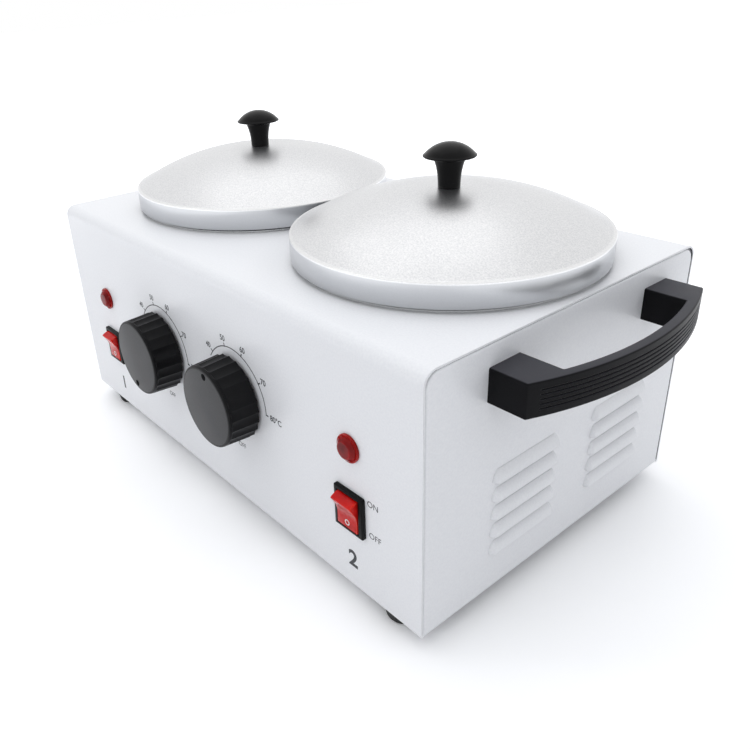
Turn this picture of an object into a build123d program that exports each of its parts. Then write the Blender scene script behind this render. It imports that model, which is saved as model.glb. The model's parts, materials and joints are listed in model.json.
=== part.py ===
from build123d import *
import math
import os

os.makedirs("parts", exist_ok=True)

# Double wax warmer. All sizes are in millimetres and degrees.
# X runs along the front, Y from the front to the back, Z up from the table.

# Lids
lid_radius = 87
lid_sheet = 1.0
lid_skirt_height = 13.2
lid_dome_rise = 20.6
lid_edge_radius = 2.6
lid_ledge = 4.0
lid_top_flat = 8
lid_gap_between = 1.2

# Lid knobs
stem_base_radius = 6
stem_top_radius = 8.5
stem_height = 15
stem_waist = 0.6
cap_radius = 14.2
cap_rim_height = 17.2
cap_edge = 1.0
lid_knob_height = 23.6
lid_knob_bore_depth = 11

# Pots
pot_sheet = 1.2
pot_depth = 88
pot_collar_height = 13.4
pot_corner_radius = 12
pot_bend_radius = 0.8
lip_overhang = 1.7
lid_side_clearance = 1.6
pot_shoulder_width = 5.0

# Casing
sheet = 1.0
drill_depth = 6
cutter_reach = 1
match_tolerance = 0.01
casing_height = 143
side_margin = 2.9
front_margin = 24.9
rear_margin = 12.1
bend_radius = 7.0
inner_fold_radius = 0.5
bottom_flange = 26
end_flange = 6
end_corner_radius = 8.5
base_clearance = 0.5
vent_slot = (46, 4)
vent_rows = 6
vent_pitch = 11

# Feet
foot_height = 10
foot_top_radius = 12
foot_bottom_radius = 9.5
foot_edge_radius = 1.2
foot_inset_x = 25
foot_inset_y = 14
foot_recess_depth = 5
foot_recess_slack = 0.6

# Wells and heaters
well_sheet = 1.0
well_clearance = 1.0
well_flange_width = 5.0
well_bend_radius = 0.8
well_hole_clearance = 0.1
swage_width = 2.4
swage_height = 3.5
bottom_clearance = 0.4
stud_radius = 3
stud_length = 17
heater_ring_radius = 50
heater_tube_radius = 3.5
heater_gap_angle = 36
heater_elbow_radius = 8
heater_leg_length = 12
clamp_radius = 60
clamp_sheet = 1.5
clamp_notch = (34, 30)
washer_radius = 8
washer_thickness = 1.2
nut_across = 10
nut_height = 5
cutout_offset = 26
cutout_cap = (8, 3)
cutout_body = (7.2, 6)

# Handles
handle_span = 144.6
handle_height = 17.5
handle_top_drop = 12.2
handle_boss_depth = 20
handle_boss_width = 21.5
handle_bow = 15
grip_thickness = 5.4
handle_edge_radius = 0.9
groove_count = 5
groove_pitch = 2.3
groove_width = 1.0
groove_depth = 0.5
groove_end_margin = 6
handle_bore_depth = 12

# Louvres
louvre_length = 50
louvre_height = 6.6
louvre_bulge = 3.0
louvre_pitch = 10.7
louvre_rows = 5
louvre_column_gap = 30
louvre_middle_z = 49
louvre_crest = 0.72
louvre_root = 0.4
louvre_step_height = 0.2

# Temperature dials: the left one points near its off mark, the right one to about 55 degrees
dial_x = {"left": -49.9, "right": 32.8}
pointer_angle = {"left": -166, "right": 7}
dial_z = 74.2
knob_gap = 1.5
knob_height = 18.8
knob_rear_radius = 25
knob_front_radius = 23.8
knob_wall = 2.4
knob_face_thickness = 3.0
knob_collar = 3.0
knob_edge_radius = 0.6
flute_count = 24
flute_depth = 0.9
flute_radius = 5.5
hub_radius = 6
pointer_radius = 1.3
pointer_depth = 0.6
pointer_inset = 2.8

# Thermostats
thermostat_size = (34, 30)
thermostat_depth = 22
thermostat_edge_radius = 1.5
bracket_size = (42, 32)
bracket_screw_pitch = 28
bracket_screw_radius = 1.5
bracket_screw_length = 5
bush_radius = 5
bush_reach = 0.8
shaft_radius = 3
shaft_flat_depth = 0.8
shaft_clearance = 0.1
shaft_sink = 8
bore_slack = 0.1
bulb_radius = 3
bulb_length = 52
bulb_angle = -125
bulb_top_drop = 18
clip_wall = 0.8
clip_height = 10
capillary_radius = 0.9
capillary_bend = 4
capillary_rise = 10

# Rocker switches
switch_inset = 47.9
switch_z = 49
bezel_size = (21, 24.4)
bezel_thickness = 2.0
bezel_corner = 1.2
bezel_edge_radius = 0.5
switch_body_width = 18.8
switch_body_height = 21.8
switch_body_depth = 18
rocker_width = 14.6
rocker_swing_radius = 9.7
rocker_clearance = 0.4
rocker_end_rise = 3.1
rocker_centre_rise = 0.8
rocker_keel = 4
rocker_dish_radius = 12
rocker_edge_radius = 0.5
rocker_pivot_sink = 1.0
rocker_throw = 28
rocker_pin_radius = 1.2
rocker_pin_length = 1.2
blade_size = (4.8, 0.8, 8)
blade_pitch = 7
blade_count = 3

# Pilot lights
pilot_inset = 47.6
pilot_z = 85.5
lens_radius = 7.5
lens_height = 3.8
lens_edge_radius = 3.0
pilot_body_radius = 6
pilot_body_length = 22
spring_nut_radius = 9
spring_nut_thickness = 1.4

# Cord entry, terminals and earth
gland_z = 26
gland_thread_radius = 7.6
gland_bore_radius = 3.6
gland_hex_across = 19
gland_hex_height = 5
gland_cap_height = 15.3
gland_cap_radius = 9
gland_mouth_radius = 6
gland_thread_length = 9
lock_nut_height = 4
block_size = (32, 18, 15)
block_edge_radius = 1.0
block_back_gap = 26
block_pitch = 9.5
block_ways = 3
block_wire_height = 5
block_wire_radius = 1.8
block_screw_radius = 2.2
block_screw_depth = 4
earth_x = 34
earth_radius = 2
earth_length = 12
earth_nut_across = 7
earth_nut_height = 3.2

# Wires
wire_radius = 1.2
wire_bend = 3.5
wire_insertion = 4
wire_lane_gap = 12.5
wire_turn_gap = 11.5
wire_drop = 6.5

# Screws
screw_radius = 2
screw_head_radius = 3.8
screw_head_height = 2.4
screw_slack = 0.25
screw_head_roundness = 0.6
bracket_screw_head = (2.8, 1.6)
blind_end_gap = 2
tip_length = 4
base_screw_x = (-80, 0, 80)

# Places worked out from the sizes above
casing_width = 4 * lid_radius + lid_gap_between + 2 * side_margin
casing_depth = front_margin + 2 * lid_radius + rear_margin
knob_reach = knob_gap + knob_height
gland_reach = gland_hex_height + gland_cap_height
front_y = -(knob_reach + casing_depth + gland_reach) / 2 + knob_reach
back_y = front_y + casing_depth
end_x = casing_width / 2
switch_x = end_x - switch_inset
pilot_x = end_x - pilot_inset
fold_radius = sheet + inner_fold_radius
base_z = foot_height
top_z = base_z + casing_height
floor_z = base_z + 2 * sheet
well_x = lid_radius + lid_gap_between / 2
well_y = front_y + front_margin + lid_radius
foot_x = end_x - foot_inset_x
foot_y = (front_y + foot_inset_y, back_y - foot_inset_y)

# Pot and well sizes worked inwards from the lid's rim, and downwards from its seat
lip_radius = lid_radius - lid_sheet - lid_side_clearance
collar_radius = lip_radius - lip_overhang
pot_radius = collar_radius - pot_shoulder_width
well_radius = pot_radius + well_clearance + well_sheet
well_hole_radius = well_radius + well_bend_radius + well_hole_clearance
well_flange_radius = well_radius + well_flange_width
flange_top_z = top_z + well_sheet
lip_top_z = flange_top_z + pot_collar_height
pot_bottom_z = lip_top_z - pot_depth
well_bottom_z = pot_bottom_z - bottom_clearance - well_sheet
lid_shoulder_z = lip_top_z + lid_sheet
lid_apex_z = lid_shoulder_z + lid_dome_rise
clamp_top_z = well_bottom_z - 2 * heater_tube_radius
clamp_bottom_z = clamp_top_z - clamp_sheet

UP = (Align.CENTER, Align.CENTER, Align.MIN)
DOWN = (Align.CENTER, Align.CENTER, Align.MAX)
well_axis = Axis((well_x, well_y, 0), (0, 0, 1))
well_profile = Plane(origin=(well_x, well_y, 0), x_dir=(1, 0, 0), z_dir=(0, -1, 0))


def front_plane(x, z, out=0):
    """Plane parallel to the front panel's face and facing out, z above the casing's underside."""
    return Plane(origin=(x, front_y - out, base_z + z), x_dir=(1, 0, 0), z_dir=(0, -1, 0))


def ground_plane(x, y, z, facing=1):
    """Level plane with its centre at a point, facing up or down."""
    return Plane(origin=(x, y, z), x_dir=(1, 0, 0), z_dir=(0, 0, facing))


def end_plane(y, z, x=end_x, facing=1):
    """Plane parallel to the right end panel, facing out or in."""
    return Plane(origin=(x, y, z), x_dir=(0, facing, 0), z_dir=(facing, 0, 0))


def write(piece, name):
    """Label a finished piece and save it under its own name."""
    piece.part.label = name
    export_step(piece.part, f"parts/{name}.step")


def write_pair(piece, name):
    """Save a right-hand piece, and its mirror image for the left side."""
    write(piece, f"right_{name}")
    with BuildPart() as left_piece:
        mirror(piece.part, about=Plane.YZ)
    write(left_piece, f"left_{name}")


def screws(places, length, radius=screw_radius, head=screw_head_radius, height=screw_head_height):
    """Domed-head screws: each place is the plane under a head, and the shank runs down from it."""
    with BuildPart() as group:
        with Locations(*places):
            Cylinder(head, height, align=UP)
            Cylinder(radius, length, align=DOWN)
        rims = group.edges().filter_by(GeomType.CIRCLE).filter_by(lambda e: abs(e.radius - head) < match_tolerance)
        tops = [e for e in rims if min((e.arc_center - p.origin).length for p in places) > height / 2]
        fillet(tops, height * screw_head_roundness)
    return group


# Casing wrapper: front, top and back folded from one sheet, with flanges along the bottom
foot_places = [ground_plane(x, y, base_z) for x in (-foot_x, foot_x) for y in foot_y]
base_screw_y = (front_y + bottom_flange / 2, back_y - bottom_flange / 2)
base_screw_places = [ground_plane(x, y, base_z, -1) for x in base_screw_x for y in base_screw_y]

with BuildPart() as casing_wrapper:
    with BuildSketch(Plane.YZ):
        with BuildLine():
            FilletPolyline(
                (front_y + bottom_flange, base_z),
                (front_y, base_z),
                (front_y, top_z),
                (back_y, top_z),
                (back_y, base_z),
                (back_y - bottom_flange, base_z),
                radius=[fold_radius, bend_radius, bend_radius, fold_radius],
            )
            offset(amount=sheet, side=Side.RIGHT)
        make_face()
    extrude(amount=end_x, both=True)
    # the flanges stop short of the end panels
    with Locations(*[(s * end_x, (front_y + back_y) / 2, base_z - sheet) for s in (-1, 1)]):
        notch_width = 2 * (end_flange + base_clearance)
        Box(notch_width, casing_depth - 2 * sheet, 3 * fold_radius, align=UP, mode=Mode.SUBTRACT)
    with Locations(*[(s * well_x, well_y, top_z) for s in (-1, 1)]):
        Cylinder(well_hole_radius, drill_depth, mode=Mode.SUBTRACT)
    with Locations(*foot_places, *base_screw_places):
        Cylinder(screw_radius + screw_slack, drill_depth, mode=Mode.SUBTRACT)
    for x in dial_x.values():
        with BuildSketch(front_plane(x, dial_z)):
            Circle(bush_radius + screw_slack)
            with GridLocations(bracket_screw_pitch, 0, 2, 1):
                Circle(bracket_screw_radius + screw_slack)
        extrude(amount=-2 * sheet, mode=Mode.SUBTRACT)
    for s in (-1, 1):
        with BuildSketch(front_plane(s * switch_x, switch_z)):
            Rectangle(switch_body_width + screw_slack, switch_body_height + screw_slack)
        with BuildSketch(front_plane(s * pilot_x, pilot_z)):
            Circle(pilot_body_radius + screw_slack)
        extrude(amount=-2 * sheet, mode=Mode.SUBTRACT)
    with BuildSketch(Plane.XZ.offset(-back_y)):
        with Locations((0, base_z + gland_z)):
            Circle(gland_thread_radius + screw_slack)
    extrude(amount=2 * sheet, both=True, mode=Mode.SUBTRACT)
write(casing_wrapper, "casing_wrapper")


def louvre_form(bulge, top, bottom):
    """Pressed hood: a curved roof along the panel with quarter-round ends, open below."""
    run = louvre_length / 2 - louvre_bulge
    reach = bulge + louvre_root - louvre_step_height
    crest = louvre_root + louvre_crest * (reach - louvre_root)
    with BuildSketch(Plane.XZ) as section:
        with BuildLine():
            ThreePointArc((louvre_root, top), (crest, (top + bottom) / 2), (reach, bottom))
            Polyline((reach, bottom), (0, bottom), (0, top), (louvre_root, top))
        make_face()
    with BuildPart() as form:
        extrude(section.sketch, amount=run, both=True)
        for s in (-1, 1):
            turn = Axis((0, s * run, 0), (0, 0, s))
            revolve(section.sketch.moved(Location((0, s * run, 0))), axis=turn, revolution_arc=90)
    return form.part


# End panel: a shallow pan that fits inside the wrapper, with two columns of louvres
panel_low_y = front_y + sheet
panel_high_y = back_y - sheet
panel_high_z = top_z - sheet
handle_z = top_z - handle_top_drop - handle_height / 2
handle_screw_y = [well_y + s * (handle_span - handle_boss_width) / 2 for s in (-1, 1)]
louvre_step = louvre_length + louvre_column_gap
louvre_top = louvre_height / 2
louvre_hood = louvre_form(louvre_bulge, louvre_top, -louvre_top)

with BuildPart() as louvre_slit:
    add(louvre_form(louvre_bulge - sheet, louvre_top - sheet, -louvre_top - sheet))
    with Locations((0, 0, -louvre_top)):
        slit_size = (2 * sheet, louvre_length - 2 * sheet, louvre_height - 2 * sheet)
        Box(*slit_size, align=(Align.MAX, Align.CENTER, Align.MIN))

with BuildPart() as end_panel:
    with BuildSketch(end_plane((panel_low_y + panel_high_y) / 2, (base_z + panel_high_z) / 2)):
        face_outline = Rectangle(panel_high_y - panel_low_y, panel_high_z - base_z)
        fillet(face_outline.vertices().group_by(Axis.Y)[-1], end_corner_radius)
    extrude(amount=-end_flange)
    fillet(end_panel.faces().sort_by(Axis.X)[-1].edges(), fold_radius)
    offset(amount=-sheet, openings=end_panel.faces().sort_by(Axis.X)[0])
    louvre_depth = louvre_step_height - louvre_root
    with Locations(end_plane(well_y, base_z + louvre_middle_z, end_x + louvre_depth)):
        with GridLocations(louvre_step, louvre_pitch, 2, louvre_rows) as louvres:
            louvre_places = [place.position for place in louvres.locations]
    with Locations(*louvre_places):
        add(louvre_hood)
    with Locations(*louvre_places):
        add(louvre_slit.part, mode=Mode.SUBTRACT)
    with Locations(*[end_plane(y, handle_z) for y in handle_screw_y]):
        Cylinder(screw_radius + screw_slack, drill_depth, mode=Mode.SUBTRACT)
write_pair(end_panel, "end_panel")


# Base plate: lies on the wrapper's bottom flanges, with vent slots and an earth stud
plate_width = casing_width - 2 * (fold_radius + base_clearance)
plate_depth = casing_depth - 2 * (fold_radius + sheet + base_clearance)
plate_y = (front_y + back_y) / 2
earth_place = (earth_x, back_y - block_back_gap, floor_z)

with BuildPart() as base_plate:
    with BuildSketch(ground_plane(0, plate_y, base_z + sheet)):
        Rectangle(plate_width, plate_depth)
        for s in (-1, 1):
            with Locations((s * well_x, 0)):
                with GridLocations(0, vent_pitch, 1, vent_rows):
                    SlotOverall(*vent_slot, mode=Mode.SUBTRACT)
    extrude(amount=sheet)
    with Locations(*foot_places, *base_screw_places):
        Cylinder(screw_radius, drill_depth, mode=Mode.SUBTRACT)
    with Locations(earth_place):
        Cylinder(earth_radius, earth_length, align=UP)
write(base_plate, "base_plate")

base_screws = screws(base_screw_places, 2 * sheet + tip_length)
write(base_screws, "base_screws")

# Feet: tapered rubber with a recess for the screw head
with BuildPart() as front_right_foot:
    with BuildSketch(ground_plane(foot_x, foot_y[0], base_z)):
        Circle(foot_top_radius)
    with BuildSketch(ground_plane(foot_x, foot_y[0], 0)):
        Circle(foot_bottom_radius)
    loft()
    fillet(front_right_foot.faces().sort_by(Axis.Z)[0].edges(), foot_edge_radius)
    with Locations(ground_plane(foot_x, foot_y[0], 0, -1)):
        CounterBoreHole(screw_radius, screw_head_radius + foot_recess_slack, foot_recess_depth)
write_pair(front_right_foot, "front_foot")

with BuildPart() as rear_right_foot:
    with Locations((0, foot_y[1] - foot_y[0], 0)):
        add(front_right_foot.part)
write_pair(rear_right_foot, "rear_foot")

foot_screw_places = [ground_plane(x, y, foot_recess_depth, -1) for x in (-foot_x, foot_x) for y in foot_y]
foot_screws = screws(foot_screw_places, floor_z + tip_length - foot_recess_depth)
write(foot_screws, "foot_screws")

# Bow handle: two bosses joined by a curved grip with long grooves
half_span = handle_span / 2
outer_bow_radius = (half_span**2 + handle_bow**2) / (2 * handle_bow)
inner_bow_radius = outer_bow_radius - grip_thickness
bow_tip_x = end_x + handle_boss_depth + handle_bow
bow_centre_x = bow_tip_x - outer_bow_radius
inner_half_span = half_span - handle_boss_width
inner_corner_x = bow_centre_x + math.sqrt(inner_bow_radius**2 - inner_half_span**2)
corner_x = end_x + handle_boss_depth

with BuildPart() as handle:
    with BuildSketch(ground_plane(0, 0, handle_z - handle_height / 2)):
        with BuildLine():
            Polyline(
                (corner_x, well_y - half_span),
                (end_x, well_y - half_span),
                (end_x, well_y - inner_half_span),
                (inner_corner_x, well_y - inner_half_span),
            )
            ThreePointArc(
                (inner_corner_x, well_y - inner_half_span),
                (bow_tip_x - grip_thickness, well_y),
                (inner_corner_x, well_y + inner_half_span),
            )
            Polyline(
                (inner_corner_x, well_y + inner_half_span),
                (end_x, well_y + inner_half_span),
                (end_x, well_y + half_span),
                (corner_x, well_y + half_span),
            )
            ThreePointArc(
                (corner_x, well_y + half_span),
                (bow_tip_x, well_y),
                (corner_x, well_y - half_span),
            )
        make_face()
    extrude(amount=handle_height)
    fillet(handle.edges().filter_by(lambda e: e.center().X > end_x + cutter_reach), handle_edge_radius)
    groove_low_z = handle_z - groove_pitch * (groove_count - 1) / 2 - groove_width / 2
    for i in range(groove_count):
        with BuildSketch(ground_plane(bow_centre_x, well_y, groove_low_z + i * groove_pitch)):
            Circle(outer_bow_radius + cutter_reach)
            Circle(outer_bow_radius - groove_depth, mode=Mode.SUBTRACT)
            with Locations((outer_bow_radius, 0)):
                groove_run = handle_span - 2 * groove_end_margin
                Rectangle(outer_bow_radius, groove_run, mode=Mode.INTERSECT)
        extrude(amount=groove_width, mode=Mode.SUBTRACT)
    with Locations(*[end_plane(y, handle_z, facing=-1) for y in handle_screw_y]):
        Hole(screw_radius, handle_bore_depth)
write_pair(handle, "handle")

handle_screw_planes = [
    Plane(origin=(s * (end_x - sheet), y, handle_z), x_dir=(0, 1, 0), z_dir=(-s, 0, 0))
    for s in (-1, 1)
    for y in handle_screw_y
]
handle_screws = screws(handle_screw_planes, sheet + handle_bore_depth - blind_end_gap)
write(handle_screws, "handle_screws")


def spun(points, radii, thickness):
    """Turn a sheet-metal shell about the right well's axis, from the line of its lower face."""
    with BuildPart() as shell:
        with BuildSketch(well_profile):
            with BuildLine():
                FilletPolyline(*points, radius=radii)
                offset(amount=thickness, side=Side.LEFT)
            make_face()
        revolve(axis=well_axis)
    return shell.part


# Well: bowl that hangs in the casing's top and holds the pot, with a welded stud below
with BuildPart() as well:
    add(
        spun(
            [
                (0, well_bottom_z),
                (well_radius, well_bottom_z),
                (well_radius, top_z),
                (well_flange_radius, top_z),
            ],
            [pot_corner_radius + well_sheet, well_bend_radius],
            well_sheet,
        )
    )
    # bead rolled out under the sheet, so that it is held between bead and flange
    with BuildSketch(well_profile):
        with BuildLine():
            bead_root = well_radius - well_sheet / 2
            Polyline(
                (bead_root, top_z - sheet),
                (well_radius + swage_width, top_z - sheet),
                (well_radius, top_z - sheet - swage_height),
                (bead_root, top_z - sheet - swage_height),
                close=True,
            )
        make_face()
    revolve(axis=well_axis)
    with Locations((well_x, well_y, well_bottom_z)):
        Cylinder(stud_radius, stud_length, align=DOWN)
write_pair(well, "well")

# Pot: stepped pan that rests by its shoulder on the well's flange
with BuildPart() as pot:
    add(
        spun(
            [
                (0, pot_bottom_z),
                (pot_radius, pot_bottom_z),
                (pot_radius, flange_top_z),
                (collar_radius, flange_top_z),
                (collar_radius, lip_top_z - pot_sheet),
                (lip_radius, lip_top_z - pot_sheet),
            ],
            [pot_corner_radius, pot_bend_radius, pot_sheet + pot_bend_radius, pot_bend_radius],
            pot_sheet,
        )
    )
write_pair(pot, "pot")

# Lid: stamped dome with a ledge that rests on the pot's lip and a skirt outside it
with BuildPart() as lid:
    with BuildSketch(well_profile):
        with BuildLine() as lid_line:
            Line((0, lid_apex_z), (lid_top_flat, lid_apex_z))
            dome_foot = (lid_radius - lid_ledge, lid_shoulder_z)
            TangentArc((lid_top_flat, lid_apex_z), dome_foot, tangent=(1, 0))
            FilletPolyline(
                dome_foot,
                (lid_radius, lid_shoulder_z),
                (lid_radius, lid_shoulder_z - lid_skirt_height),
                radius=lid_edge_radius,
            )
            offset(amount=lid_sheet, side=Side.RIGHT)
        make_face()
    revolve(axis=well_axis)
    with Locations((well_x, well_y, lid_apex_z)):
        Cylinder(screw_radius + screw_slack, drill_depth, mode=Mode.SUBTRACT)
write_pair(lid, "lid")

# Lid knob: mushroom with a waisted stem, screwed on from inside the lid
with BuildPart() as lid_knob:
    with BuildSketch(Plane(origin=(well_x, well_y, lid_apex_z), x_dir=(1, 0, 0), z_dir=(0, -1, 0))):
        with BuildLine():
            Line((0, 0), (stem_base_radius, 0))
            stem = Bezier(
                (stem_base_radius, 0),
                (stem_base_radius, stem_height * stem_waist),
                (stem_top_radius, stem_height),
            )
            Polyline(stem @ 1, (cap_radius - cap_edge / 2, cap_rim_height - cap_edge))
            edge_arc = ThreePointArc(
                (cap_radius - cap_edge / 2, cap_rim_height - cap_edge),
                (cap_radius, cap_rim_height - cap_edge / 2),
                (cap_radius - cap_edge / 2, cap_rim_height),
            )
            TangentArc((0, lid_knob_height), edge_arc @ 1, tangent=(1, 0))
            Line((0, lid_knob_height), (0, 0))
        make_face()
    revolve(axis=well_axis)
    with Locations(ground_plane(well_x, well_y, lid_apex_z, -1)):
        Hole(screw_radius, lid_knob_bore_depth)
write_pair(lid_knob, "lid_knob")

lid_screw_length = lid_sheet + lid_knob_bore_depth - blind_end_gap
lid_screw = screws([ground_plane(well_x, well_y, lid_apex_z - lid_sheet, -1)], lid_screw_length)
write_pair(lid_screw, "lid_screw")

# Heating ring: tube bent nearly full circle under the well, with both legs turned down
ring_z = well_bottom_z - heater_tube_radius
gap_half = heater_gap_angle / 2

with BuildPart() as heater_ring:
    with BuildSketch(Plane(origin=(well_x, well_y, ring_z), x_dir=(0, 1, 0), z_dir=(1, 0, 0))) as tube:
        with Locations((heater_ring_radius, 0)):
            Circle(heater_tube_radius)
    spin = Axis((well_x, well_y, 0), (0, 0, 1))
    ring_start = tube.sketch.rotate(spin, gap_half + 180)
    revolve(ring_start, axis=spin, revolution_arc=360 - heater_gap_angle)
    for s in (-1, 1):
        end_face = tube.sketch.rotate(spin, 180 + s * gap_half)
        radial = Vector(0, -1, 0).rotate(Axis.Z, s * gap_half)
        tangent = Vector(-s, 0, 0).rotate(Axis.Z, s * gap_half)
        end_point = Vector(well_x, well_y, ring_z) + radial * heater_ring_radius
        below = end_point - Vector(0, 0, heater_elbow_radius)
        revolve(end_face, axis=Axis(below, radial * s), revolution_arc=90)
        leg_top = below + tangent * heater_elbow_radius
        with Locations(leg_top):
            Cylinder(heater_tube_radius, heater_leg_length, align=DOWN)
write_pair(heater_ring, "heater_ring")

# Clamp plate that presses the ring against the well, with a notch for the legs
with BuildPart() as heater_clamp:
    with BuildSketch(ground_plane(well_x, well_y, clamp_bottom_z)):
        Circle(clamp_radius)
        Circle(stud_radius + screw_slack, mode=Mode.SUBTRACT)
        with Locations((0, -clamp_radius)):
            Rectangle(clamp_notch[0], 2 * clamp_notch[1], mode=Mode.SUBTRACT)
    extrude(amount=clamp_sheet)
write_pair(heater_clamp, "heater_clamp")

with BuildPart() as clamp_washers:
    for s in (-1, 1):
        with BuildSketch(ground_plane(s * well_x, well_y, clamp_bottom_z)):
            Circle(washer_radius)
            Circle(stud_radius, mode=Mode.SUBTRACT)
    extrude(amount=-washer_thickness)
write(clamp_washers, "clamp_washers")

with BuildPart() as clamp_nuts:
    for s in (-1, 1):
        with BuildSketch(ground_plane(s * well_x, well_y, clamp_bottom_z - washer_thickness)):
            RegularPolygon(nut_across / 2, 6, major_radius=False)
            Circle(stud_radius, mode=Mode.SUBTRACT)
    extrude(amount=-nut_height)
write(clamp_nuts, "clamp_nuts")

# Thermal cut-out: metal cap and moulded body with two blades, under the clamp plate
with BuildPart() as thermal_cutout:
    with Locations((well_x, well_y + cutout_offset, clamp_bottom_z)):
        Cylinder(*cutout_cap, align=DOWN)
    with Locations((well_x, well_y + cutout_offset, clamp_bottom_z - cutout_cap[1])):
        Cylinder(*cutout_body, align=DOWN)
    with Locations((well_x, well_y + cutout_offset, clamp_bottom_z - cutout_cap[1] - cutout_body[1])):
        with GridLocations(blade_pitch, 0, 2, 1):
            Box(blade_size[1], blade_size[0], blade_size[2], align=DOWN)
write_pair(thermal_cutout, "thermal_cutout")

# Temperature controls
inner_front_y = front_y + sheet
fluted_length = knob_height - knob_collar
collar_rear_radius = knob_front_radius + (knob_rear_radius - knob_front_radius) * knob_collar / knob_height
shaft_end = knob_gap + knob_height - knob_face_thickness
bulb_top = top_z - sheet - bulb_top_drop
bulb_reach = well_radius + bulb_radius
bulb_turn = math.radians(bulb_angle)
bulb_place = (well_x + bulb_reach * math.cos(bulb_turn), well_y + bulb_reach * math.sin(bulb_turn))

for side, s in (("left", -1), ("right", 1)):
    x = dial_x[side]

    # Thermostat: bracket, moulded body and bush that reaches through the panel
    with BuildPart() as thermostat:
        with BuildSketch(front_plane(x, dial_z, -sheet)):
            Rectangle(*bracket_size)
        extrude(amount=-sheet)
        with BuildSketch(front_plane(x, dial_z, -2 * sheet)):
            Rectangle(*thermostat_size)
        extrude(amount=-thermostat_depth)
        fillet(thermostat.faces().sort_by(Axis.Y)[-1].edges(), thermostat_edge_radius)
        with BuildSketch(front_plane(x, dial_z, bush_reach)):
            Circle(bush_radius)
        extrude(amount=-(bush_reach + sheet))
        with Locations(front_plane(x, dial_z, bush_reach)):
            Hole(shaft_radius + shaft_clearance, bush_reach + sheet + shaft_sink)
            with GridLocations(bracket_screw_pitch, 0, 2, 1):
                Hole(bracket_screw_radius, bush_reach + bracket_screw_length + cutter_reach)
        with Locations(front_plane(x, dial_z, -2 * sheet - thermostat_depth)):
            with GridLocations(2 * blade_pitch, 0, 2, 1):
                Box(*blade_size, align=DOWN)
    write(thermostat, f"{side}_thermostat")

    # Shaft with a flat that the knob sits on
    with BuildPart() as shaft:
        with BuildSketch(front_plane(x, dial_z, shaft_end)):
            Circle(shaft_radius)
            with Locations((0, shaft_radius - shaft_flat_depth)):
                flat_size = (2 * shaft_radius, 2 * shaft_flat_depth)
                Rectangle(*flat_size, align=(Align.CENTER, Align.MIN), mode=Mode.SUBTRACT)
        extrude(amount=-(shaft_end - bush_reach))
        with BuildSketch(front_plane(x, dial_z, bush_reach)):
            Circle(shaft_radius)
        extrude(amount=-(bush_reach + sheet + shaft_sink - shaft_clearance))
    write(shaft, f"{side}_thermostat_shaft")

    # Knob: flutes lofted along a slight taper, plain collar in front, hollow behind
    with BuildPart() as dial_knob:
        for out, radius in ((knob_gap, knob_rear_radius), (knob_gap + fluted_length, collar_rear_radius)):
            with BuildSketch(front_plane(x, dial_z, out)):
                Circle(radius)
                with PolarLocations(radius + flute_radius - flute_depth, flute_count):
                    Circle(flute_radius, mode=Mode.SUBTRACT)
        loft(ruled=True)
        with BuildSketch(front_plane(x, dial_z, knob_gap + fluted_length)):
            Circle(collar_rear_radius)
        with BuildSketch(front_plane(x, dial_z, knob_reach)):
            Circle(knob_front_radius)
        loft()
        fillet(dial_knob.faces().sort_by(Axis.Y)[0].edges(), knob_edge_radius)
        with BuildSketch(front_plane(x, dial_z, knob_gap)):
            Circle(knob_front_radius - knob_wall)
            Circle(hub_radius, mode=Mode.SUBTRACT)
        extrude(amount=knob_height - knob_face_thickness, mode=Mode.SUBTRACT)
        with BuildSketch(front_plane(x, dial_z, knob_gap)):
            Circle(shaft_radius + bore_slack)
            with Locations((0, shaft_radius - shaft_flat_depth + bore_slack)):
                Rectangle(*flat_size, align=(Align.CENTER, Align.MIN), mode=Mode.SUBTRACT)
        extrude(amount=shaft_end - knob_gap, mode=Mode.SUBTRACT)
        with BuildSketch(front_plane(x, dial_z, knob_reach)):
            with PolarLocations(knob_front_radius - pointer_inset, 1, 90 - pointer_angle[side]):
                Circle(pointer_radius)
        extrude(amount=-pointer_depth, mode=Mode.SUBTRACT)
    write(dial_knob, f"{side}_dial_knob")

    # Sensor bulb upright against the well, and the capillary tube to it from the thermostat
    bulb_x = s * bulb_place[0]
    bulb_y = bulb_place[1]
    with BuildPart() as sensor_bulb:
        with Locations((bulb_x, bulb_y, bulb_top)):
            Cylinder(bulb_radius, bulb_length, align=DOWN)
        fillet(sensor_bulb.edges().filter_by(GeomType.CIRCLE), bulb_radius / 2)
    write(sensor_bulb, f"{side}_sensor_bulb")

    with BuildPart() as capillary:
        tube_y = inner_front_y + sheet + thermostat_depth / 2
        tube_low = base_z + dial_z + thermostat_size[1] / 2
        tube_high = bulb_top + capillary_rise
        with BuildLine() as route:
            FilletPolyline(
                (x, tube_y, tube_low),
                (x, tube_y, tube_high),
                (bulb_x, bulb_y, tube_high),
                (bulb_x, bulb_y, bulb_top),
                radius=capillary_bend,
            )
        with BuildSketch(ground_plane(x, tube_y, tube_low)):
            Circle(capillary_radius)
        sweep()
    write(capillary, f"{side}_capillary")

with BuildPart() as bulb_clips:
    for s in (-1, 1):
        with BuildSketch(ground_plane(s * bulb_place[0], bulb_place[1], bulb_top - bulb_length / 2)):
            Circle(bulb_radius + clip_wall)
            Circle(bulb_radius, mode=Mode.SUBTRACT)
            with Locations((s * (well_x - bulb_place[0]), well_y - bulb_place[1])):
                Circle(well_radius + clip_wall, mode=Mode.SUBTRACT)
    extrude(amount=clip_height / 2, both=True)
write(bulb_clips, "bulb_clips")

bracket_screw_places = [
    front_plane(x + s * bracket_screw_pitch / 2, dial_z) for x in dial_x.values() for s in (-1, 1)
]
thermostat_screws = screws(
    bracket_screw_places, bracket_screw_length, bracket_screw_radius, *bracket_screw_head
)
write(thermostat_screws, "thermostat_screws")

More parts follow.
